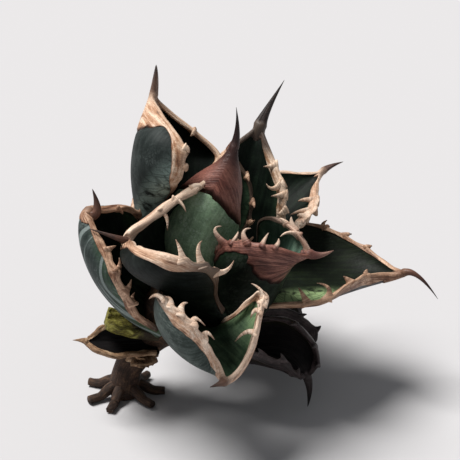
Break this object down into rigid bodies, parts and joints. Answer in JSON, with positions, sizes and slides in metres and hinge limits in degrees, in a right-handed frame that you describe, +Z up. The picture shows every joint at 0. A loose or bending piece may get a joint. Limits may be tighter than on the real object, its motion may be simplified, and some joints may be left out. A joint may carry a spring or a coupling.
{
  "type": "bare-root agave titanota rosette",
  "caption": "Unpotted agave rosette with a short bent stem, thick gutter-shaped leaves, pale horny margins with curled teeth, and long end spines.",
  "frame": {"origin": "middle of the cut face under the stem, on the surface that the plant rests on", "axes": "+Z up, +X the way the rosette leans out from the stem, -Y the front that the picture shows"},
  "size_m": [0.0979, 0.0975, 0.0916],
  "materials": {
    "green_leaf": "satin, waxy bloom",
    "young_leaf": "satin, mottled",
    "withered_leaf": "dull, wrinkled",
    "dry_leaf": "papery, matt",
    "cream_horn": "horny, satin",
    "red_brown_horn": "horny, satin",
    "dry_horn": "horny, matt",
    "stub_flesh": "satin",
    "bark": "rough, matt"
  },
  "bodies": {
    "root": {"stem": "bark", "bud": "young_leaf", "leaf_stub": "stub_flesh", "leaf_01_blade": "young_leaf", "leaf_01_margin": "red_brown_horn", "leaf_02_blade": "green_leaf", "leaf_02_margin": "cream_horn", "leaf_03_blade": "green_leaf", "leaf_03_margin": "cream_horn", "leaf_04_blade": "green_leaf", "leaf_04_margin": "cream_horn", "leaf_05_blade": "green_leaf", "leaf_05_margin": "cream_horn", "leaf_06_blade": "green_leaf", "leaf_06_margin": "red_brown_horn", "leaf_07_blade": "green_leaf", "leaf_07_margin": "cream_horn", "leaf_08_blade": "green_leaf", "leaf_08_margin": "cream_horn", "leaf_09_blade": "green_leaf", "leaf_09_margin": "cream_horn", "leaf_10_blade": "green_leaf", "leaf_10_margin": "cream_horn", "leaf_11_blade": "green_leaf", "leaf_11_margin": "cream_horn", "leaf_12_blade": "green_leaf", "leaf_12_margin": "cream_horn", "leaf_13_blade": "withered_leaf", "leaf_13_margin": "dry_horn", "leaf_14_blade": "green_leaf", "leaf_14_margin": "cream_horn", "leaf_15_blade": "withered_leaf", "leaf_15_margin": "dry_horn", "leaf_16_blade": "dry_leaf", "leaf_16_margin": "dry_horn"}
  },
  "joints": []
}
